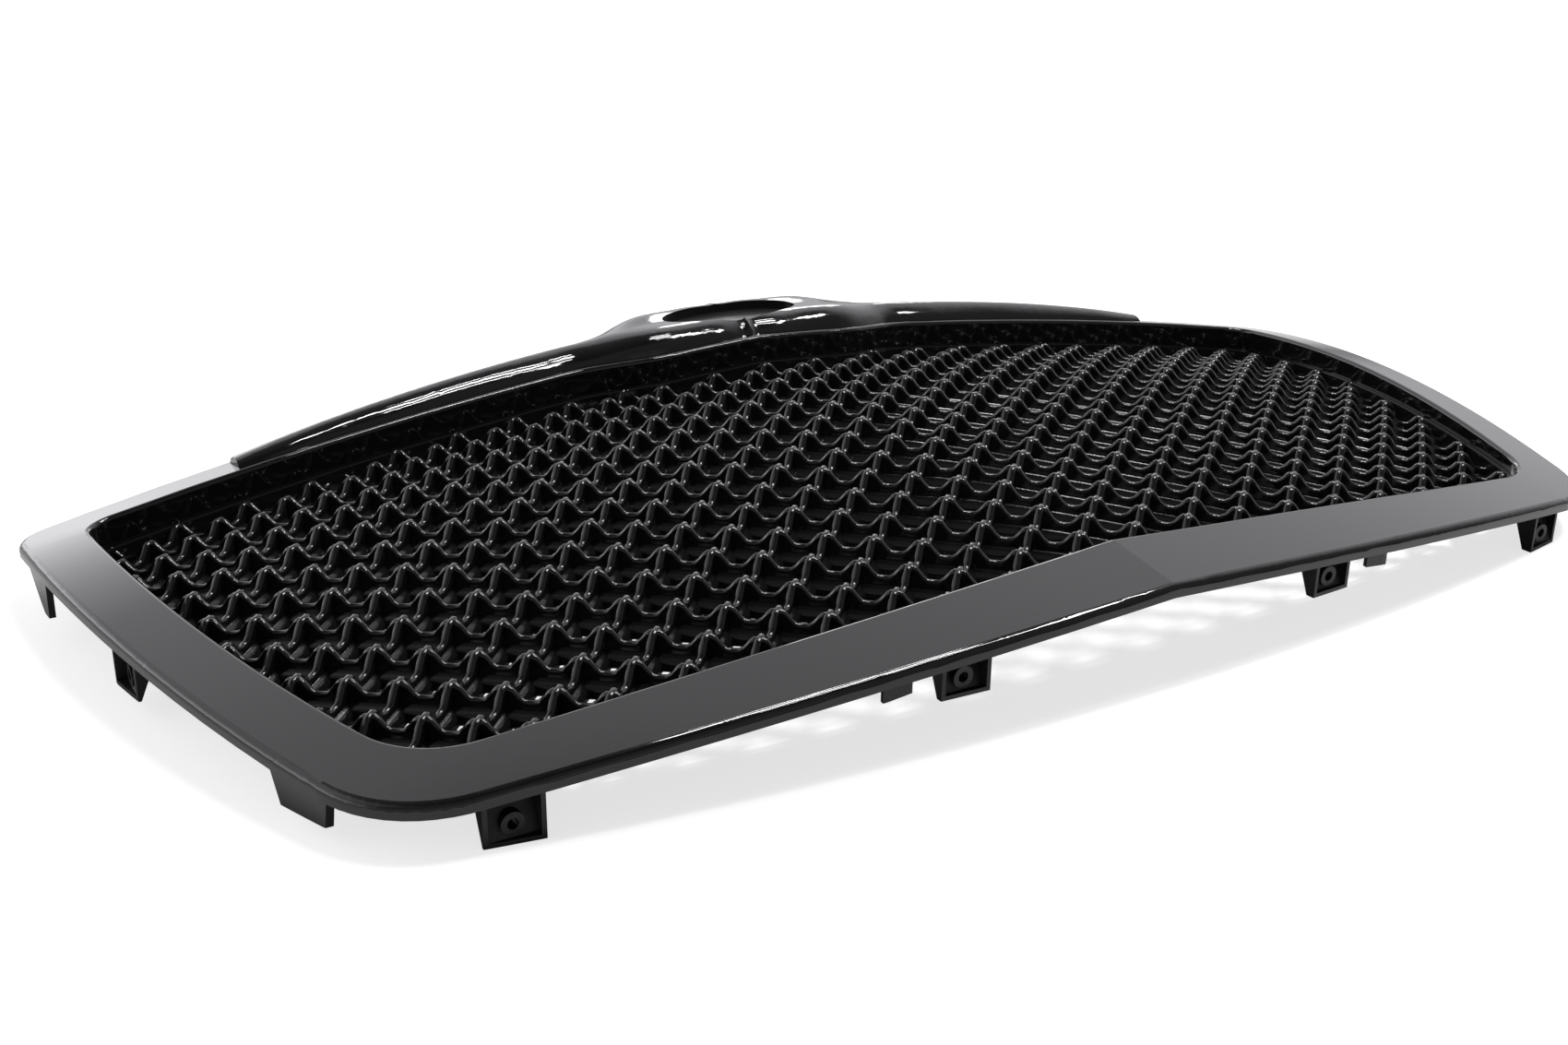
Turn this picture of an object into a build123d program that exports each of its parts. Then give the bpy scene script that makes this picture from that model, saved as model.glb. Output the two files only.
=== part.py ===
from build123d import *
import os

# Front grille of a large car, lying on its back.
# +X is to the side, +Y is the grille's own up, +Z is the way it faces.
# Origin: on the floor, in the middle of the part's width and height. Millimetres.

# Face surface: a slight crease at x = 0, a bow to the sides and a bow up and down
FACE_Z = 74.4
SLOPE_Y = 0.0723
BOW_Y = -0.000536
CUBE_Y = -1.08e-6
CREASE = 0.050
BOW_X = 0.00018

# Outer edge in plan: the right half's corners from bottom to top, the bow of
# each run between them, and the radius at each corner
OUTER_CORNERS = [(0, -196), (317, -165), (382, 141), (0, 196)]
OUTER_BOWS = [8, 16, 3]
OUTER_RADII = [59, 17]

# Edge of the opening, whose top dips in the middle below the emblem
INNER_CORNERS = [(0, -156), (297, -140), (354, 123), (100, 146), (60, 131), (0, 131)]
INNER_BOWS = [6, 14, 2, 0, 0]
INNER_RADII = [43, 14, 45, 45]

BAND_T = 3.0
SKIRT_DEPTH = 5.5
WALL_T = 2.5
WALL_DEPTH = 16.0
OUTER_EDGE_R = 3.5
INNER_EDGE_R = 1.8
TAB_T = 2.5
CORNER_TAB = [(-106, 30), (-140, 30), (-137, 6), (-114, 6)]   # y, z
SIDE_TAB = [(114, 30), (78, 30), (80, 10), (87, 10)]          # y, z

# Diamond mesh
PITCH_X = 31.4
PITCH_Y = 26.1
NODE_Y = -5.9             # height of one crossing on the middle line
RIB_W = 3.4
RIM_T = 2.5
MESH_GAP = 0.3
MESH_DROP = 11.0          # top of the ribs below the face at y = 0
MESH_LEAN = 0.026
MESH_DEPTH = 16.0
SMALLEST_CELL = 30.0

# Screws that hold the mesh, through its ears into pillars under the band
EAR_T = 2.5
EAR_R = 5.0
PILLAR_OUT = 6.0          # from the edge of the opening to the pillar's axis
PILLAR_R = 4.2
SCREW_R = 1.5
SCREW_HEAD_R = 3.2
SCREW_HEAD_H = 2.2
SCREW_BITE = 8.0
SEAT = 0.9                # room for the slope of the layer under a flat head
MESH_SCREWS = [(40, -175), (170, -170), (228, -165), (352, -75), (370, 55), (300, 150), (140, 160)]

# Box brackets, open outwards, with a screw boss on the back wall
BRACKET_W = 22.0
BRACKET_IN = 1.5          # from the outer edge to the untrimmed mouth
BRACKET_GAP = 0.3         # from the skirt to the trimmed mouth
BRACKET_DEPTH = 11.0
BRACKET_HEEL = 5.0        # depth at the foot
BRACKET_KNEE = 14.0       # height where the full depth begins
BRACKET_WALL = 1.8
BRACKET_DROP = 20.5       # face to foot
INNER_BRACKET = (98, -193)
OUTER_BRACKET = (273, -173)
SIDE_BRACKET = (368, 0)
SIDE_DROP = 25.0
UPPER_BRACKET = (215, 168)
BOSS_R = 4.5
BOSS_FROM = 3.6           # from the mouth
BOSS_TO = 9.6
BOSS_BORE_R = 2.2
BOSS_Z = 7.0              # boss axis above the foot

# Small locating tab inside the skirt
TAB_AT = (128, -187)
TAB_W = 13.0
TAB_DROP = 13.0

# Emblem moulding on the top band
WING_LIP = 6.0            # from the edge of the opening
WING_HEM = 1.0            # from the outer edge
WING_STATIONS = [0, 14, 28, 42, 56, 70, 84, 98, 112, 140, 175, 215, 250, 270, 281]
WING_RISE = 11.0          # crest above the face in the middle
TIP_RISE = 4.0
SHOULDER_AT = 0.15        # share of the width, from either edge
SHOULDER = 0.52           # height there as a share of the crest's
PAD_Z = 78.0              # level pad round the recess
PAD_FLAT = 45.0           # the pad ends here, and fades out at PAD_END
PAD_END = 95.0
RECESS_A = 41.0
RECESS_B = 17.0
RECESS_Y = 164.0
RECESS_DEPTH = 6.5
PLATE_T = 2.0
WING_SCREWS = [(62, 166), (150, 158), (258, 146)]
WING_BITE = 5.0

HALF_W = 420.0
HALF_H = 230.0
TALL = 140.0
UPRIGHT = (Align.CENTER, Align.CENTER, Align.MIN)


# ---- shared shapes ----

def heightX(x):
    return -CREASE * abs(x) - BOW_X * x * x


def heightY(y):
    return FACE_Z + SLOPE_Y * y + BOW_Y * y * y + CUBE_Y * y ** 3


def faceZ(x, y):
    return heightX(x) + heightY(y)


def bezierHeights(f, lo, hi):
    # control heights that give a polynomial of degree 3 or less exactly
    step = (hi - lo) * 1e-5
    run = (hi - lo) / 3
    slopeLo = (f(lo + step) - f(lo)) / step
    slopeHi = (f(hi) - f(hi - step)) / step
    return [f(lo), f(lo) + slopeLo * run, f(hi) - slopeHi * run, f(hi)]


def slab(drop, depth, lean=0.0):
    # right half of a layer that follows the face, from drop below it down
    zx = bezierHeights(heightX, 0, HALF_W)
    zy = bezierHeights(lambda y: heightY(y) - drop - lean * y, -HALF_H, HALF_H)
    grid = []
    for i, dx in enumerate(zx):
        grid.append([Vector(HALF_W * i / 3, HALF_H * (2 * j / 3 - 1), dx + dy) for j, dy in enumerate(zy)])
    return extrude(Face.make_bezier_surface(grid), amount=depth, dir=(0, 0, -1))


def both(half):
    return (half + mirror(half, about=Plane.YZ)).solid()


def bowed(a, b, bow):
    # run from a to b that stands bow out to the right
    a, b = Vector(a), Vector(b)
    if bow == 0:
        return Line(a, b)
    side = (b - a).normalized().cross(Vector(0, 0, 1))
    return ThreePointArc(a, (a + b) * 0.5 + side * bow, b)


def moved(corners, radii, inward):
    # the same corners and radii for an edge that runs inward of this one
    mates = [(-corners[1][0], corners[1][1])] + corners + [(-corners[-2][0], corners[-2][1])]
    points = [Vector(*corner) for corner in mates]
    shifted = []
    turns = []
    for a, b, c in zip(points, points[1:], points[2:]):
        first, second = (b - a).normalized(), (c - b).normalized()
        n1, n2 = Vector(-first.Y, first.X), Vector(-second.Y, second.X)
        spot = b + (n1 + n2) * (inward / (1 + n1.dot(n2)))
        shifted.append((spot.X, spot.Y))
        turns.append(1 if first.cross(second).Z > 0 else -1)
    return shifted, [r - turn * inward for r, turn in zip(radii, turns[1:])]


def plan(corners, bows, radii, inward=0):
    corners, radii = moved(corners, radii, inward)
    right = [bowed(a, b, bow) for a, b, bow in zip(corners, corners[1:], bows)]
    left = [mirror(edge, about=Plane.YZ) for edge in right]
    sketch = make_face(Curve() + right + left)
    for (x, y), radius in zip(corners[1:], radii):
        for side in (1, -1):
            corner = sketch.vertices().sort_by_distance((side * x, y))[0]
            sketch = fillet(corner, radius)
    return sketch


def outerPlan(inward=0):
    return plan(OUTER_CORNERS, OUTER_BOWS, OUTER_RADII, inward)


def openingPlan(inward=0):
    return plan(INNER_CORNERS, INNER_BOWS, INNER_RADII, inward)


def prism(sketch, z=-20.0, tall=TALL):
    return extrude(Pos(0, 0, z) * sketch, amount=tall)


def post(spot, radius, topDrop, footDrop):
    # upright round post between two depths below the face
    x, y = spot
    low = faceZ(x, y) - footDrop
    return Pos(x, y, low) * Cylinder(radius, footDrop - topDrop, align=UPRIGHT)


def screw(spot, headDrop, bite):
    # screw that stands head down, its head's seat at headDrop below the face
    seat = headDrop + SEAT
    head = post(spot, SCREW_HEAD_R, seat, seat + SCREW_HEAD_H)
    shank = post(spot, SCREW_R, seat - bite, seat + 0.5)
    return (head + shank).solid()


def twice(spots):
    return [(side * x, y) for x, y in spots for side in (1, -1)]


outer = outerPlan()
opening = openingPlan()
outerWire = outer.face().outer_wire()
openingWire = opening.face().outer_wire()


def pillarSpot(x, y):
    # foot of the pillar that stands nearest to (x, y), beside the opening
    _, edge, _ = openingWire.distance_to_with_closest_points(Vector(x, y, 0))
    spot = edge + (Vector(x, y, 0) - edge).normalized() * PILLAR_OUT
    return (spot.X, spot.Y), edge


# ---- surround ----

def edgesAlong(solid, wire):
    # edges of the right half that lie on the face and follow a wire
    found = []
    for edge in solid.edges():
        spots = [edge.position_at(t) for t in (0.1, 0.5, 0.9)]
        high = all(abs(p.Z - faceZ(p.X, p.Y)) < 0.05 for p in spots)
        near = all(Vertex(p.X, p.Y, 0).distance_to(wire) < 0.2 for p in spots)
        if high and near and abs(edge.center().X) > 0.01:
            found.append(edge)
    return found


def hangingTab(outline):
    # tab below the skirt, whose side view is the outline
    side = make_face(Plane.YZ * Polyline(*outline, close=True))
    ring = prism(outer) - prism(outerPlan(TAB_T))
    return slab(SKIRT_DEPTH - 1, 40) & ring & extrude(Pos(280, 0, 0) * side, amount=120, dir=(1, 0, 0))


def surround():
    band = slab(0, BAND_T) & (prism(outer) - prism(opening))
    skirt = slab(0, SKIRT_DEPTH) & (prism(outer) - prism(outerPlan(BAND_T)))
    wall = slab(0, WALL_DEPTH) & (prism(openingPlan(-WALL_T)) - prism(opening))
    half = band + skirt + wall
    half = fillet(edgesAlong(half, outerWire), OUTER_EDGE_R)
    half = fillet(edgesAlong(half, openingWire), INNER_EDGE_R)
    half = half + hangingTab(CORNER_TAB) + hangingTab(SIDE_TAB)
    for x, y in MESH_SCREWS:
        spot, _ = pillarSpot(x, y)
        half = half + post(spot, PILLAR_R, BAND_T - 1, WALL_DEPTH - SEAT)
        half = half - post(spot, SCREW_R, WALL_DEPTH - SCREW_BITE, WALL_DEPTH + 5)
    for spot in WING_SCREWS:
        half = half - post(spot, SCREW_R, -5, BAND_T + 5)
    return both(half)


# ---- mesh ----

def cells():
    # openings of the right half's net, clipped where they meet the rim
    inside = openingPlan(MESH_GAP + RIM_T)
    border = inside.face().outer_wire()
    run = (PITCH_X ** 2 + PITCH_Y ** 2) ** 0.5
    keep = 1 - RIB_W * run / (PITCH_X * PITCH_Y)
    a, b = PITCH_X / 2 * keep, PITCH_Y / 2 * keep
    diamond = make_face(Polyline((a, 0), (0, b), (-a, 0), (0, -b), close=True))
    found = []
    for row in range(-14, 15):
        for column in range(0, 26):
            if (row + column) % 2 == 0:
                continue
            x, y = column * PITCH_X / 2, NODE_Y + row * PITCH_Y / 2
            cell = Pos(x, y) * diamond
            if Vertex(x, y, 0).distance_to(border) < a:
                cell = cell & inside
            elif not inside.face().is_inside(Vector(x, y, 0)):
                continue
            if cell and cell.area > SMALLEST_CELL:
                found.append(cell)
    return found


def ear(x, y):
    # flat ear from the rim to the pillar
    spot, edge = pillarSpot(x, y)
    tip, root = Vector(*spot), edge - (Vector(*spot) - edge).normalized() * (MESH_GAP + 1)
    side = (tip - root).normalized().cross(Vector(0, 0, 1)) * EAR_R
    bar = make_face(Polyline(root + side, tip + side, tip - side, root - side, close=True))
    tongue = bar + Pos(tip.X, tip.Y) * Circle(EAR_R) - Pos(tip.X, tip.Y) * Circle(SCREW_R)
    return slab(WALL_DEPTH, EAR_T) & prism(tongue)


def meshInsert():
    net = openingPlan(MESH_GAP) - cells()
    half = slab(MESH_DROP, MESH_DEPTH, MESH_LEAN) & prism(net)
    for x, y in MESH_SCREWS:
        half = half + ear(x, y)
    return both(half)


def meshScrews():
    solids = []
    for x, y in MESH_SCREWS:
        spot, _ = pillarSpot(x, y)
        solids += [screw(s, WALL_DEPTH + EAR_T, EAR_T + SCREW_BITE) for s in twice([spot])]
    return solids


# ---- brackets ----

def sideSlab(front, heel, back, low, width):
    # upright slab with this side view: a foot, a sloped heel, then a straight back
    outline = [(front, low), (heel, low), (back, BRACKET_KNEE), (back, TALL), (front, TALL)]
    side = make_face(Plane.YZ * Polyline(*outline, close=True))
    return extrude(Pos(-width / 2, 0, 0) * side, amount=width, dir=(1, 0, 0))


def boxBracket():
    # open to -Y, foot at z = 0, tall enough to be trimmed under the band
    wall = BRACKET_WALL
    lean = (BRACKET_DEPTH - BRACKET_HEEL) / BRACKET_KNEE
    inset = wall * (1 + lean ** 2) ** 0.5
    body = sideSlab(0, BRACKET_HEEL, BRACKET_DEPTH, 0, BRACKET_W)
    hollowHeel = BRACKET_HEEL + lean * wall - inset
    body = body - sideSlab(-1, hollowHeel, BRACKET_DEPTH - inset, wall, BRACKET_W - 2 * wall)
    boss = Pos(0, BOSS_TO, BOSS_Z) * Rot(X=90)
    body = body + boss * Cylinder(BOSS_R, BOSS_TO - BOSS_FROM, align=UPRIGHT)
    return body - boss * Cylinder(BOSS_BORE_R, 40)


def placed(bracket, spot, turn, foot):
    # spot is on the outer edge
    x, y = spot
    stood = Pos(x, y, foot) * Rot(Z=turn) * Pos(0, BRACKET_IN, 0) * bracket
    room = prism(outerPlan(BAND_T + BRACKET_GAP))
    return (slab(BAND_T, TALL) & room & stood).solid()


def brackets():
    kinds = {
        "bracket_lower_inner": (INNER_BRACKET, 0, faceZ(*INNER_BRACKET) - BRACKET_DROP),
        "bracket_lower_outer": (OUTER_BRACKET, 0, 0),
        "bracket_side": (SIDE_BRACKET, 90, faceZ(*SIDE_BRACKET) - SIDE_DROP),
        "bracket_upper": (UPPER_BRACKET, 180, 0),
    }
    for name, (spot, turn, foot) in kinds.items():
        right = placed(boxBracket(), spot, turn, foot)
        yield name + "_right", right
        yield name + "_left", mirror(right, about=Plane.YZ)


def locatingTab():
    x, y = TAB_AT
    plate = Pos(x, y, 0) * Box(TAB_W, BRACKET_WALL, TALL, align=(Align.CENTER, Align.CENTER, Align.MIN))
    return (slab(BAND_T, TAB_DROP - BAND_T) & prism(outerPlan(BAND_T)) & plate).solid()


# ---- emblem moulding ----

def along(corners, x):
    # height of a run of corners at x
    for (x1, y1), (x2, y2) in zip(corners, corners[1:]):
        if x2 <= x <= x1:
            return y2 + (y1 - y2) * (x - x2) / (x1 - x2)


def wingSection(x):
    rise = WING_RISE - (WING_RISE - TIP_RISE) * (x / WING_STATIONS[-1]) ** 4
    low = along(INNER_CORNERS[2:], x) + WING_LIP
    high = along(OUTER_CORNERS[2:], x) - WING_HEM
    full = min(max((PAD_END - x) / (PAD_END - PAD_FLAT), 0), 1)
    level = full * full * (3 - 2 * full)
    points = [Vector(x, low, faceZ(x, low) - 2)]
    for share, part in ((SHOULDER_AT, SHOULDER), (0.5, 1), (1 - SHOULDER_AT, SHOULDER)):
        y = low + share * (high - low)
        swept = faceZ(x, y) + rise * part
        points.append(Vector(x, y, swept + (PAD_Z - swept) * level))
    points.append(Vector(x, high, faceZ(x, high) - 3))
    return make_face(Curve() + [Spline(*points), Line(points[-1], points[0])])


def wingHalf():
    return loft([wingSection(x).face() for x in WING_STATIONS])


def recess(grow, low, high):
    return Pos(0, RECESS_Y, low) * extrude(Ellipse(RECESS_A + grow, RECESS_B + grow), amount=high - low)


def recessFloor():
    return PAD_Z - RECESS_DEPTH


def emblemMoulding():
    half = wingHalf() - slab(0, 60)
    for spot in WING_SCREWS:
        half = half - post(spot, SCREW_R, -WING_BITE, 5)
    return (both(half) - recess(0, recessFloor(), TALL)).solid()


def emblemPlate():
    plate = recess(-0.2, recessFloor(), recessFloor() + PLATE_T)
    return fillet(plate.edges().group_by(Axis.Z)[-1], 0.6).solid()


def wingScrews():
    return [screw(spot, BAND_T, BAND_T + WING_BITE) for spot in twice(WING_SCREWS)]


# ---- write one file per node ----

def save(name, solids):
    shape = solids if isinstance(solids, Solid) else Compound(children=list(solids))
    shape.label = name
    export_step(shape, "parts/" + name + ".step")


os.makedirs("parts", exist_ok=True)
save("surround", surround())
save("mesh_insert", meshInsert())
save("mesh_screws", meshScrews())
save("emblem_moulding", emblemMoulding())
save("emblem_plate", emblemPlate())
save("moulding_screws", wingScrews())
for name, solid in brackets():
    save(name, solid)
save("locating_tab_right", locatingTab())
save("locating_tab_left", mirror(locatingTab(), about=Plane.YZ))
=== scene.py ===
import math

import bmesh
import bpy
from mathutils import Matrix, Vector
from mathutils.bvhtree import BVHTree


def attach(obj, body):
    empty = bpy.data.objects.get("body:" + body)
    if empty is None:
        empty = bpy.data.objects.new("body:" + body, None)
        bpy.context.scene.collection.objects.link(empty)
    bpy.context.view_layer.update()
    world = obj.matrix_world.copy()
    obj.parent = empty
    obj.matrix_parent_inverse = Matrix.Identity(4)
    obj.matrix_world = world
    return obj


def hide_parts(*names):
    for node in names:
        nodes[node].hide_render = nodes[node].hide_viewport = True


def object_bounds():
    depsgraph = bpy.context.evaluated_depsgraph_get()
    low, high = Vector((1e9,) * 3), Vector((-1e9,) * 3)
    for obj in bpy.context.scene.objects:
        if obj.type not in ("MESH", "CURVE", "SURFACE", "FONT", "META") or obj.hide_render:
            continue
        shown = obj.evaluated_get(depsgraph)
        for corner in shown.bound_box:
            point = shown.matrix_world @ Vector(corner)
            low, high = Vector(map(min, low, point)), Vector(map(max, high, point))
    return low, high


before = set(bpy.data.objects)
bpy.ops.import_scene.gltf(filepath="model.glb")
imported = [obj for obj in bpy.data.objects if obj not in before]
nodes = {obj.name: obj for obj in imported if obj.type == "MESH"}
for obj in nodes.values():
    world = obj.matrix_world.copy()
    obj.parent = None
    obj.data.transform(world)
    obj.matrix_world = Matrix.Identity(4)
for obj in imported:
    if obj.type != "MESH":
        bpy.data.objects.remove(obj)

mm = 0.001
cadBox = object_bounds()
scene = bpy.context.scene
print("frame loaded, nodes:", len(nodes))


# shader helpers

def addNode(tree, kind, place, **settings):
    node = tree.nodes.new(kind)
    node.location = place
    for key, value in settings.items():
        setattr(node, key, value)
    return node


def newGroup(name, inputs, outputs):
    group = bpy.data.node_groups.new(name, "ShaderNodeTree")
    for label, kind, value in inputs:
        socket = group.interface.new_socket(label, in_out="INPUT", socket_type=kind)
        if value is not None:
            socket.default_value = value
    for label, kind in outputs:
        group.interface.new_socket(label, in_out="OUTPUT", socket_type=kind)
    start = addNode(group, "NodeGroupInput", (-900, 0))
    end = addNode(group, "NodeGroupOutput", (600, 0))
    return group, start, end


def mapRange(tree, place, source, low, high, toLow, toHigh):
    # low, high, toLow and toHigh may be numbers or sockets
    node = addNode(tree, "ShaderNodeMapRange", place)
    tree.links.new(source, node.inputs["Value"])
    for label, value in (("From Min", low), ("From Max", high), ("To Min", toLow), ("To Max", toHigh)):
        if isinstance(value, bpy.types.NodeSocket):
            tree.links.new(value, node.inputs[label])
        else:
            node.inputs[label].default_value = value
    return node.outputs["Result"]


def makeMouldGrain():
    # fine ripple of a moulded or sprayed skin, with patches of a softer shine
    group, start, end = newGroup(
        "mould grain",
        [("Vector", "NodeSocketVector", None), ("Grain Scale", "NodeSocketFloat", 900.0),
         ("Patch Scale", "NodeSocketFloat", 14.0), ("Rough Low", "NodeSocketFloat", 0.05),
         ("Rough High", "NodeSocketFloat", 0.12)],
        [("Roughness", "NodeSocketFloat"), ("Height", "NodeSocketFloat")],
    )
    link = group.links.new
    grain = addNode(group, "ShaderNodeTexNoise", (-600, 150))
    grain.inputs["Detail"].default_value = 3.0
    patch = addNode(group, "ShaderNodeTexNoise", (-600, -150))
    patch.inputs["Detail"].default_value = 5.0
    patch.inputs["Roughness"].default_value = 0.65
    link(start.outputs["Vector"], grain.inputs["Vector"])
    link(start.outputs["Vector"], patch.inputs["Vector"])
    link(start.outputs["Grain Scale"], grain.inputs["Scale"])
    link(start.outputs["Patch Scale"], patch.inputs["Scale"])
    rough = mapRange(group, (-100, -150), patch.outputs["Fac"], 0.35, 0.7,
                     start.outputs["Rough Low"], start.outputs["Rough High"])
    link(rough, end.inputs["Roughness"])
    link(grain.outputs["Fac"], end.inputs["Height"])
    return group


def makeDust():
    # sparse pale specks that settle on black plastic
    group, start, end = newGroup(
        "settled dust",
        [("Vector", "NodeSocketVector", None), ("Speck Scale", "NodeSocketFloat", 260.0),
         ("Amount", "NodeSocketFloat", 0.10), ("Clean", "NodeSocketColor", (0.01, 0.01, 0.01, 1)),
         ("Dusty", "NodeSocketColor", (0.2, 0.2, 0.2, 1))],
        [("Color", "NodeSocketColor"), ("Mask", "NodeSocketFloat")],
    )
    link = group.links.new
    speck = addNode(group, "ShaderNodeTexVoronoi", (-650, 150), feature="F1")
    link(start.outputs["Vector"], speck.inputs["Vector"])
    link(start.outputs["Speck Scale"], speck.inputs["Scale"])
    spread = addNode(group, "ShaderNodeTexNoise", (-650, -150))
    spread.inputs["Scale"].default_value = 30.0
    spread.inputs["Detail"].default_value = 4.0
    link(start.outputs["Vector"], spread.inputs["Vector"])
    dots = mapRange(group, (-400, 150), speck.outputs["Distance"], start.outputs["Amount"], 0.0, 0.0, 1.0)
    where = mapRange(group, (-400, -150), spread.outputs["Fac"], 0.5, 0.75, 0.0, 1.0)
    mask = addNode(group, "ShaderNodeMath", (-150, 50), operation="MULTIPLY")
    link(dots, mask.inputs[0])
    link(where, mask.inputs[1])
    tint = addNode(group, "ShaderNodeMix", (150, 100), data_type="RGBA")
    link(mask.outputs[0], tint.inputs["Factor"])
    link(start.outputs["Clean"], tint.inputs["A"])
    link(start.outputs["Dusty"], tint.inputs["B"])
    link(tint.outputs["Result"], end.inputs["Color"])
    link(mask.outputs[0], end.inputs["Mask"])
    return group


mouldGrain = makeMouldGrain()
settledDust = makeDust()


def makeFinish(name, look):
    # black finish: clean colour with dust, grain in the bump and patches in the shine
    material = bpy.data.materials.new(name)
    material.use_nodes = True
    tree = material.node_tree
    tree.nodes.clear()
    link = tree.links.new
    out = addNode(tree, "ShaderNodeOutputMaterial", (700, 0))
    shader = addNode(tree, "ShaderNodeBsdfPrincipled", (400, 0))
    link(shader.outputs["BSDF"], out.inputs["Surface"])
    place = addNode(tree, "ShaderNodeTexCoord", (-900, 0))
    grain = addNode(tree, "ShaderNodeGroup", (-450, -150), node_tree=mouldGrain)
    dust = addNode(tree, "ShaderNodeGroup", (-450, 200), node_tree=settledDust)
    for part in (grain, dust):
        link(place.outputs["Object"], part.inputs["Vector"])
    grain.inputs["Grain Scale"].default_value = look["grainScale"]
    grain.inputs["Patch Scale"].default_value = look["patchScale"]
    grain.inputs["Rough Low"].default_value = look["roughLow"]
    grain.inputs["Rough High"].default_value = look["roughHigh"]
    dust.inputs["Speck Scale"].default_value = look["speckScale"]
    dust.inputs["Amount"].default_value = look["speckSize"]
    dust.inputs["Clean"].default_value = look["colour"]
    dust.inputs["Dusty"].default_value = look["dustColour"]
    bump = addNode(tree, "ShaderNodeBump", (100, -250))
    bump.inputs["Strength"].default_value = look["bumpStrength"]
    bump.inputs["Distance"].default_value = look["bumpDistance"]
    link(grain.outputs["Height"], bump.inputs["Height"])
    link(dust.outputs["Color"], shader.inputs["Base Color"])
    link(grain.outputs["Roughness"], shader.inputs["Roughness"])
    link(bump.outputs["Normal"], shader.inputs["Normal"])
    shader.inputs["IOR"].default_value = look["ior"]
    shader.inputs["Metallic"].default_value = look["metallic"]
    shader.inputs["Coat Weight"].default_value = look["coat"]
    shader.inputs["Coat Roughness"].default_value = 0.03
    return material


finishes = {
    "gloss_black": makeFinish("glossBlack", {
        "colour": (0.0055, 0.0055, 0.006, 1), "dustColour": (0.09, 0.09, 0.09, 1),
        "roughLow": 0.05, "roughHigh": 0.11, "grainScale": 260.0, "patchScale": 9.0,
        "speckScale": 420.0, "speckSize": 0.07, "bumpStrength": 0.05, "bumpDistance": 0.0002,
        "ior": 1.5, "metallic": 0.0, "coat": 0.25}),
    "mesh_black": makeFinish("meshBlack", {
        "colour": (0.008, 0.008, 0.0085, 1), "dustColour": (0.10, 0.10, 0.10, 1),
        "roughLow": 0.11, "roughHigh": 0.2, "grainScale": 700.0, "patchScale": 24.0,
        "speckScale": 500.0, "speckSize": 0.10, "bumpStrength": 0.15, "bumpDistance": 0.0002,
        "ior": 1.5, "metallic": 0.0, "coat": 0.0}),
    "satin_black": makeFinish("satinBlack", {
        "colour": (0.009, 0.009, 0.0095, 1), "dustColour": (0.08, 0.08, 0.08, 1),
        "roughLow": 0.32, "roughHigh": 0.46, "grainScale": 1400.0, "patchScale": 30.0,
        "speckScale": 500.0, "speckSize": 0.12, "bumpStrength": 0.35, "bumpDistance": 0.0002,
        "ior": 1.48, "metallic": 0.0, "coat": 0.0}),
    "screw_steel": makeFinish("screwSteel", {
        "colour": (0.16, 0.155, 0.15, 1), "dustColour": (0.3, 0.28, 0.26, 1),
        "roughLow": 0.24, "roughHigh": 0.42, "grainScale": 2400.0, "patchScale": 120.0,
        "speckScale": 800.0, "speckSize": 0.12, "bumpStrength": 0.3, "bumpDistance": 0.0001,
        "ior": 1.5, "metallic": 1.0, "coat": 0.0}),
}

satinNodes = [name for name in nodes if name.startswith(("bracket", "locating"))]
finishOf = {"surround": "gloss_black", "emblem_moulding": "gloss_black", "mesh_insert": "mesh_black",
            "emblem_plate": "satin_black", "mesh_screws": "screw_steel", "moulding_screws": "screw_steel"}
finishOf.update({name: "satin_black" for name in satinNodes})
for name, finish in finishOf.items():
    for place in nodes[name].material_slots:
        place.material = finishes[finish]
print("finishes placed on", len(finishOf), "nodes")


# mesh insert: wavy ribs both ways, a plain foot under them, a rim and screw ears

lattice = {
    "pitchX": 31.4 * mm, "pitchY": 26.1 * mm,
    "middleY": -5.9 * mm,       # height of one crossing on the middle line
    "stations": (0.0, 0.10, 0.17, 0.23, 0.30, 0.38, 0.5, 0.62, 0.70, 0.77, 0.83, 0.90),    # shares of a run
    "crossings": 16,            # followed to each side of the middle
    "lines": 26,                # ribs to each side of the middle
    "breakAt": 3 * mm,          # a step higher than this ends a rib
    "dip": 5.6 * mm,            # from a crossing down to the trough between two
    "dipStart": 0.09, "dipEnd": 0.41,
    "overRise": 0.3 * mm,       # the ribs that pass over stand this much higher
    "beadHalf": 1.6 * mm, "beadTopHalf": 0.72 * mm, "beadSide": 1.0 * mm, "beadFoot": 2.4 * mm,
    "wallHalf": 1.2 * mm, "depth": 15.6 * mm,
    "footTopHalf": 0.7 * mm, "footTop": 8.6 * mm,
    "footHalf": 4.2 * mm, "footEdge": 12.0 * mm, "footBottom": 15.7 * mm,
    "sharpAngle": 70.0,
}

depsgraph = bpy.context.evaluated_depsgraph_get()
meshTree = BVHTree.FromObject(nodes["mesh_insert"], depsgraph)
surroundTree = BVHTree.FromObject(nodes["surround"], depsgraph)
down = Vector((0, 0, -1))


def topOf(tree, x, y):
    # height of the first surface met from above, or None
    hit = tree.ray_cast(Vector((x, y, 0.2)), down)[0]
    return hit.z if hit else None


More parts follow.
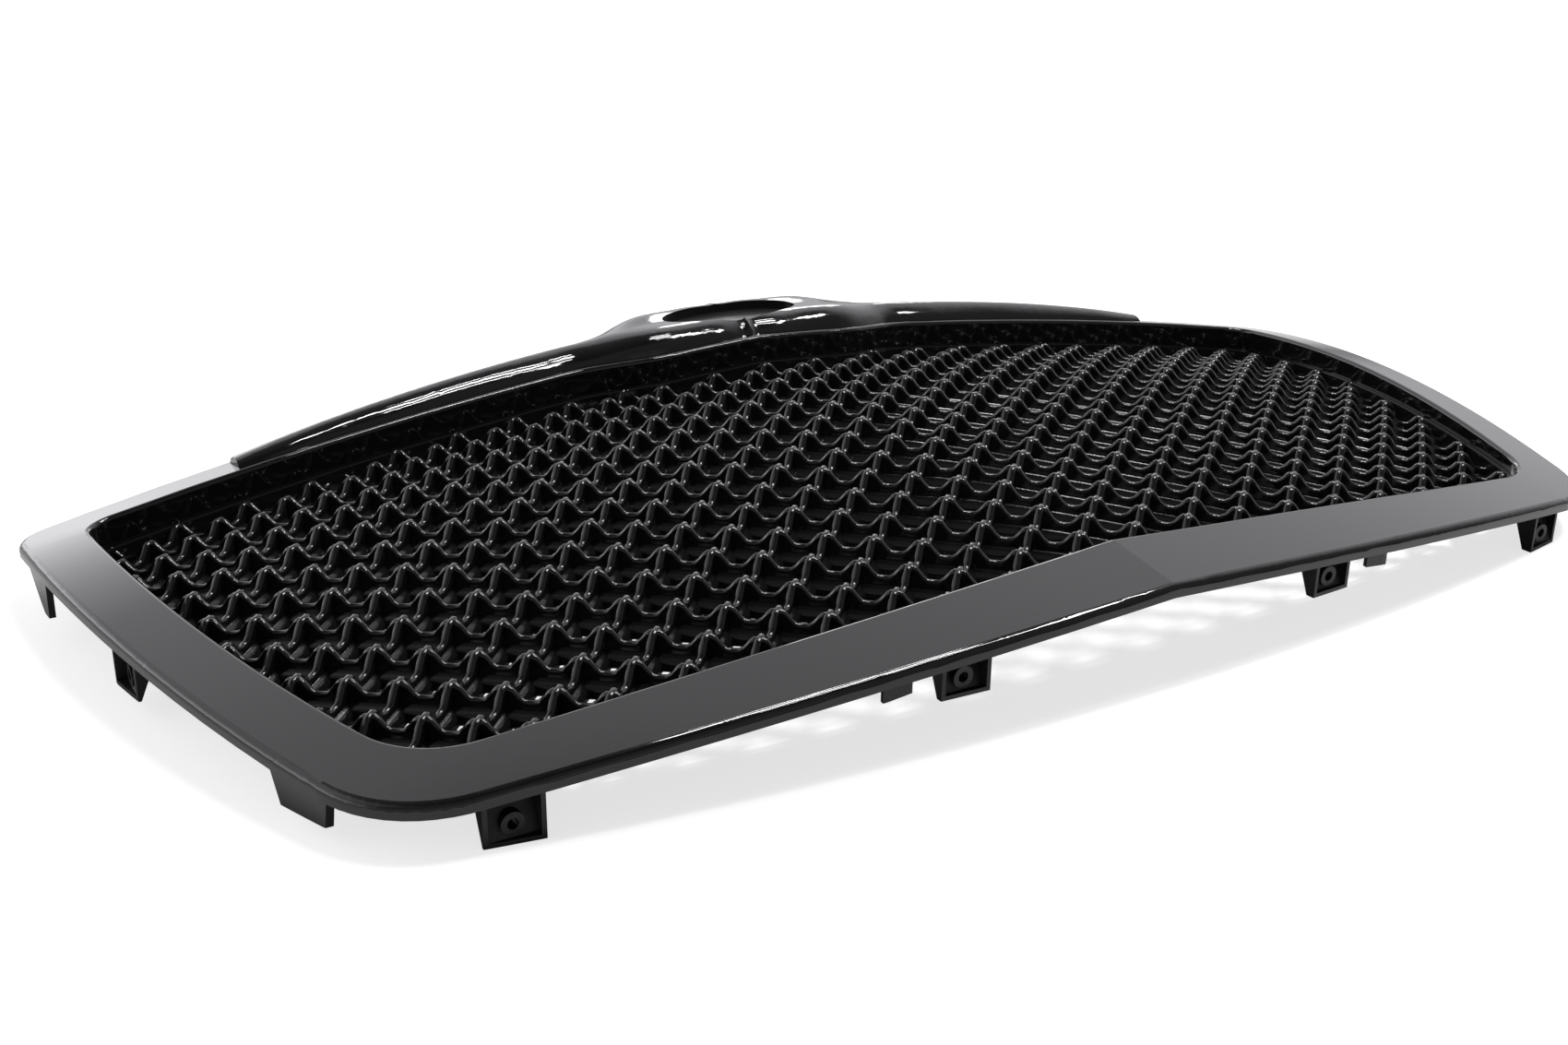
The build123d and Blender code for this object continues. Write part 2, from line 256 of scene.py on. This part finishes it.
def finishedPiece(name, bm, finish, sharpAngle):
    bmesh.ops.recalc_face_normals(bm, faces=bm.faces)
    for face in bm.faces:
        face.smooth = True
    for edge in bm.edges:
        if len(edge.link_faces) == 2 and edge.calc_face_angle() > math.radians(sharpAngle):
            edge.smooth = False
    mesh = bpy.data.meshes.new(name)
    bm.to_mesh(mesh)
    bm.free()
    piece = bpy.data.objects.new(name, mesh)
    scene.collection.objects.link(piece)
    mesh.materials.append(finishes[finish])
    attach(piece, "root")
    return piece


def ribStations(slope, line):
    # longest unbroken stretch of one rib on the frame's mesh: (place, share of a run past a crossing)
    run = Vector((slope * lattice["pitchX"] / 2, lattice["pitchY"] / 2))
    start = Vector((line * lattice["pitchX"], lattice["middleY"]))
    best, current = [], []
    for crossing in range(-lattice["crossings"], lattice["crossings"]):
        for share in lattice["stations"]:
            spot = start + run * (crossing + share)
            height = topOf(meshTree, spot.x, spot.y)
            if height is None or (current and abs(height - current[-1][0].z) > lattice["breakAt"]):
                current = []
            if height is not None:
                current.append((Vector((spot.x, spot.y, height)), share))
            if len(current) > len(best):
                best = current
    return best, run.normalized()


def dipAt(share):
    part = (min(share, 1 - share) - lattice["dipStart"]) / (lattice["dipEnd"] - lattice["dipStart"])
    part = min(max(part, 0.0), 1.0)
    return lattice["dip"] * part * part * (3 - 2 * part)


def ribStrip(bm, stations, run, outlineAt):
    # a grid bent over the stations: its rows go along the rib and its columns around it
    columns = len(outlineAt(0.0))
    rows = len(stations)
    grid = bmesh.ops.create_grid(bm, x_segments=columns, y_segments=rows - 1, size=1.0)["verts"]
    grid.sort(key=lambda v: (round(v.co.y, 5), v.co.x))
    side = Vector((run.y, -run.x, 0))
    for row, (place, share) in enumerate(stations):
        around = outlineAt(dipAt(share))
        for column in range(columns + 1):
            across, fall = around[column % columns]
            grid[row * (columns + 1) + column].co = place + side * across + down * fall


def beadOutline(rise):
    # round bead on a thinner wall
    def outlineAt(dip):
        top = dip - rise * (1 - dip / lattice["dip"])
        half = [(lattice["beadTopHalf"], top), (lattice["beadHalf"], top + lattice["beadSide"]),
                (lattice["wallHalf"], top + lattice["beadFoot"]), (lattice["wallHalf"], lattice["depth"])]
        return [(-x, z) for x, z in reversed(half)] + half
    return outlineAt


def footOutline(dip):
    # the same at every dip
    half = [(lattice["footTopHalf"], lattice["footTop"]), (lattice["footHalf"], lattice["footEdge"]),
            (lattice["footHalf"], lattice["footBottom"])]
    return [(-x, z) for x, z in reversed(half)] + half


def buildLattice():
    bm = bmesh.new()
    for slope, rise in ((1, lattice["overRise"]), (-1, 0.0)):
        for line in range(-lattice["lines"], lattice["lines"] + 1):
            stations, run = ribStations(slope, line)
            if len(stations) < 3:
                continue
            ribStrip(bm, stations, run, beadOutline(rise))
            sparse = stations[:-1:len(lattice["stations"])] + stations[-1:]
            ribStrip(bm, sparse, run, footOutline)
    bmesh.ops.remove_doubles(bm, verts=bm.verts, dist=0.0001 * mm)
    openEdges = [edge for edge in bm.edges if edge.is_boundary]
    bmesh.ops.holes_fill(bm, edges=openEdges, sides=12)
    return bm


rim = {
    "segments": 720, "gap": 0.3 * mm, "thick": 2.5 * mm,
    "top": 0.5 * mm, "depth": 15.8 * mm,                    # below the crossings
    "from": 80 * mm, "to": 420 * mm, "step": 4 * mm,        # where the opening's edge is looked for
    "halvings": 10,
}


def openingEdge(angle, centre):
    # where the surround begins, going out from the centre
    way = Vector((math.cos(angle), math.sin(angle)))
    near = far = rim["from"]
    while far < rim["to"]:
        spot = centre + way * far
        if topOf(surroundTree, spot.x, spot.y) is not None:
            break
        near = far
        far += rim["step"]
    for _ in range(rim["halvings"]):
        middle = (near + far) / 2
        spot = centre + way * middle
        if topOf(surroundTree, spot.x, spot.y) is None:
            near = middle
        else:
            far = middle
    return centre + way * near


def openingOutline():
    centre = Vector((0, lattice["middleY"]))
    turn = 2 * math.pi / rim["segments"]
    return [openingEdge(turn * index, centre) for index in range(rim["segments"])]


outline = openingOutline()


def insetSpot(index, inset):
    ahead = outline[(index + 1) % len(outline)]
    behind = outline[index - 1]
    along = (ahead - behind).normalized()
    inward = Vector((-along.y, along.x))
    return outline[index] + inward * inset


def ribTopNear(spot):
    # height of the mesh's top at the rim, searched a little to each side
    for shift in (0.0, 0.6 * mm, -0.6 * mm, 1.2 * mm):
        towards = spot * (1 - shift / max(spot.length, mm))
        height = topOf(meshTree, towards.x, towards.y)
        if height is not None:
            return height
    return None


def buildRim(bm):
    # a ring bent to the opening, given its height and then its wall
    rimBm = bmesh.new()
    ring = bmesh.ops.create_circle(rimBm, segments=rim["segments"], radius=1.0)["verts"]
    ring.sort(key=lambda v: math.atan2(v.co.y, v.co.x) % (2 * math.pi))
    inset = rim["gap"] + rim["thick"] / 2
    spots = [insetSpot(index, inset) for index in range(len(ring))]
    heights = [ribTopNear(spot) for spot in spots]
    previous = next(height for height in heights if height is not None)
    for index, vert in enumerate(ring):
        if heights[index] is not None:
            previous = heights[index]
        outerSpot = insetSpot(index, rim["gap"])
        vert.co = Vector((outerSpot.x, outerSpot.y, previous - rim["top"]))
    wall = bmesh.ops.extrude_edge_only(rimBm, edges=rimBm.edges[:])["geom"]
    lower = [v for v in wall if isinstance(v, bmesh.types.BMVert)]
    bmesh.ops.translate(rimBm, verts=lower, vec=down * (rim["depth"] - rim["top"]))
    bmesh.ops.recalc_face_normals(rimBm, faces=rimBm.faces)
    bmesh.ops.solidify(rimBm, geom=rimBm.faces[:], thickness=rim["thick"])
    scratch = bpy.data.meshes.new("rimScratch")
    rimBm.to_mesh(scratch)
    rimBm.free()
    bm.from_mesh(scratch)
    bpy.data.meshes.remove(scratch)


ears = {
    "halfWidth": 5.0 * mm, "thick": 2.4 * mm, "segments": 28,
    "bite": 1.3 * mm,           # how far the ear runs into the rim
    "probe": 4 * mm,            # from the screw inwards, where the frame's ear is felt from below
    "apart": 9 * mm,            # screws further apart than this are separate
}


def screwSpots(node):
    # plan centres of the separate screws in one node
    spots = []
    for vert in nodes[node].data.vertices:
        spot = Vector((vert.co.x, vert.co.y))
        for group in spots:
            if (group[0] - spot).length < ears["apart"]:
                group.append(spot)
                break
        else:
            spots.append([spot])
    centres = []
    for group in spots:
        low = Vector((min(s.x for s in group), min(s.y for s in group)))
        high = Vector((max(s.x for s in group), max(s.y for s in group)))
        centres.append((low + high) / 2)
    return centres


def buildEars(bm):
    for spot in screwSpots("mesh_screws"):
        edge = min(outline, key=lambda p: (p - spot).length)
        out = (spot - edge).normalized()
        probe = spot - out * ears["probe"]
        under = meshTree.ray_cast(Vector((probe.x, probe.y, -0.05)), -down)[0]
        length = (spot - edge).length + ears["bite"]
        turn = Matrix.Rotation(math.atan2(out.y, out.x), 4, "Z")
        middle = (spot + edge - out * ears["bite"]) / 2
        level = under.z + ears["thick"] / 2
        box = bmesh.ops.create_cube(bm, size=1.0)["verts"]
        bmesh.ops.scale(bm, verts=box, vec=(length, ears["halfWidth"] * 2, ears["thick"]))
        bmesh.ops.transform(bm, matrix=Matrix.Translation((middle.x, middle.y, level)) @ turn, verts=box)
        tip = bmesh.ops.create_cone(bm, cap_ends=True, segments=ears["segments"], depth=ears["thick"],
                                    radius1=ears["halfWidth"], radius2=ears["halfWidth"])["verts"]
        bmesh.ops.translate(bm, verts=tip, vec=(spot.x, spot.y, level))


meshBm = buildLattice()
print("lattice rows laid, faces:", len(meshBm.faces))
buildRim(meshBm)
buildEars(meshBm)
meshInsert = finishedPiece("meshInsert", meshBm, "mesh_black", lattice["sharpAngle"])
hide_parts("mesh_insert")
print("mesh insert faces:", len(meshInsert.data.polygons))


# floor, surroundings, lights and camera

paper = {"halfSize": 40.0, "gap": 0.2 * mm, "grey": 0.62, "roughness": 0.9, "glow": 0.72}


def makeFloor():
    bm = bmesh.new()
    bmesh.ops.create_grid(bm, x_segments=1, y_segments=1, size=paper["halfSize"])
    bmesh.ops.translate(bm, verts=bm.verts, vec=(0, 0, cadBox[0].z - paper["gap"]))
    mesh = bpy.data.meshes.new("paleFloor")
    bm.to_mesh(mesh)
    bm.free()
    floor = bpy.data.objects.new("paleFloor", mesh)
    scene.collection.objects.link(floor)
    material = bpy.data.materials.new("palePaper")
    material.use_nodes = True
    tree = material.node_tree
    shader = tree.nodes["Principled BSDF"]
    shader.inputs["Base Color"].default_value = (paper["grey"], paper["grey"], paper["grey"], 1)
    shader.inputs["Roughness"].default_value = paper["roughness"]
    shader.inputs["Specular IOR Level"].default_value = 0.0
    path = addNode(tree, "ShaderNodeLightPath", (-400, 0))      # lit from below for the camera only
    tree.links.new(path.outputs["Is Camera Ray"], shader.inputs["Emission Color"])
    shader.inputs["Emission Strength"].default_value = paper["glow"]
    mesh.materials.append(material)


studio = {
    # brightness from straight down to straight up
    "levels": [(0.0, 0.30), (0.06, 0.75), (0.17, 1.0), (0.40, 0.95), (0.66, 1.05), (0.77, 0.95),
               (0.84, 0.35), (0.90, 0.18), (1.0, 0.12)],
    "blueTint": 1.03,
    "nearSide": 0.16,           # share of it behind the camera
    "glow": 2.5,                # times as bright low on the far left
}


def makeSurroundings():
    # seen in the gloss: a pale wall all round the far side, dark behind the camera and overhead
    world = bpy.data.worlds.new("studio")
    scene.world = world
    world.use_nodes = True
    tree = world.node_tree
    tree.nodes.clear()
    link = tree.links.new
    out = addNode(tree, "ShaderNodeOutputWorld", (900, 0))
    place = addNode(tree, "ShaderNodeTexCoord", (-900, 0))
    split = addNode(tree, "ShaderNodeSeparateXYZ", (-700, 0))
    link(place.outputs["Generated"], split.inputs["Vector"])
    ramp = addNode(tree, "ShaderNodeValToRGB", (-350, 150))
    while len(ramp.color_ramp.elements) < len(studio["levels"]):
        ramp.color_ramp.elements.new(0.5)
    for element, (spot, level) in zip(ramp.color_ramp.elements, studio["levels"]):
        element.position = spot
        element.color = (level, level, level * studio["blueTint"], 1)
    link(split.outputs["Z"], ramp.inputs["Fac"])
    farSide = mapRange(tree, (-350, -150), split.outputs["Y"], -0.35, 0.25, studio["nearSide"], 1.0)
    lowGlow = mapRange(tree, (-600, -400), split.outputs["Z"], 0.52, 0.14, 1.0, studio["glow"])
    farLeft = mapRange(tree, (-350, -400), split.outputs["X"], 0.38, 0.05, 1.0, lowGlow)
    strength = addNode(tree, "ShaderNodeMath", (-100, -200), operation="MULTIPLY")
    link(farSide, strength.inputs[0])
    link(farLeft, strength.inputs[1])
    gloss = addNode(tree, "ShaderNodeBackground", (100, 100))
    link(ramp.outputs["Color"], gloss.inputs["Color"])
    link(strength.outputs[0], gloss.inputs["Strength"])
    white = addNode(tree, "ShaderNodeBackground", (100, -150))
    white.inputs["Color"].default_value = (1, 1, 1, 1)
    path = addNode(tree, "ShaderNodeLightPath", (100, 400))
    mix = addNode(tree, "ShaderNodeMixShader", (600, 0))
    link(path.outputs["Is Camera Ray"], mix.inputs["Fac"])
    link(gloss.outputs["Background"], mix.inputs[1])
    link(white.outputs["Background"], mix.inputs[2])
    link(mix.outputs["Shader"], out.inputs["Surface"])


softboxes = {
    "overWing": {"place": (0.30, -0.02, 1.5), "aim": (0.30, 0, 0), "size": (0.60, 0.12), "power": 8},
    "overWingFront": {"place": (0.40, -0.30, 1.5), "aim": (0.4, -0.3, 0), "size": (0.55, 0.06), "power": 4},
    "overWingRear": {"place": (0.35, 0.24, 1.5), "aim": (0.35, 0.24, 0), "size": (0.5, 0.05), "power": 3},
    "overEdge": {"place": (0.80, -0.32, 1.45), "aim": (0.4, -0.1, 0), "size": (0.40, 0.20), "power": 9},
    "farWindow": {"place": (1.35, 2.15, 0.90), "aim": (0, 0, 0), "size": (0.75, 0.40), "power": 4},
}


def makeLights():
    for name, look in softboxes.items():
        light = bpy.data.lights.new(name, "AREA")
        light.shape = "RECTANGLE"
        light.size, light.size_y = look["size"]
        light.energy = look["power"]
        box = bpy.data.objects.new(name, light)
        box.location = look["place"]
        aim = Vector(look["aim"]) - Vector(look["place"])
        box.rotation_euler = aim.to_track_quat("-Z", "Y").to_euler()
        box.visible_camera = False
        scene.collection.objects.link(box)


view = {
    "place": (-0.4641, -0.6548, 0.3197), "lens": 39.88, "sensor": 36.0,
    "right": (0.85511, -0.51831, 0.01152), "up": (0.1792, 0.31635, 0.93157),
    "back": (-0.48648, -0.79452, 0.36339),
}


def makeCamera():
    turn = Matrix((view["right"], view["up"], view["back"])).transposed().to_4x4()
    camera = bpy.data.cameras.new("mainView")
    camera.lens = view["lens"]
    camera.sensor_width = view["sensor"]
    camera.clip_start = 0.01
    camera.clip_end = 100.0
    holder = bpy.data.objects.new("mainView", camera)
    holder.matrix_world = Matrix.Translation(view["place"]) @ turn
    scene.collection.objects.link(holder)
    scene.camera = holder


makeFloor()
makeSurroundings()
makeLights()
makeCamera()
scene.view_settings.view_transform = "Standard"
scene.view_settings.look = "None"
print("stage, lights and camera placed")
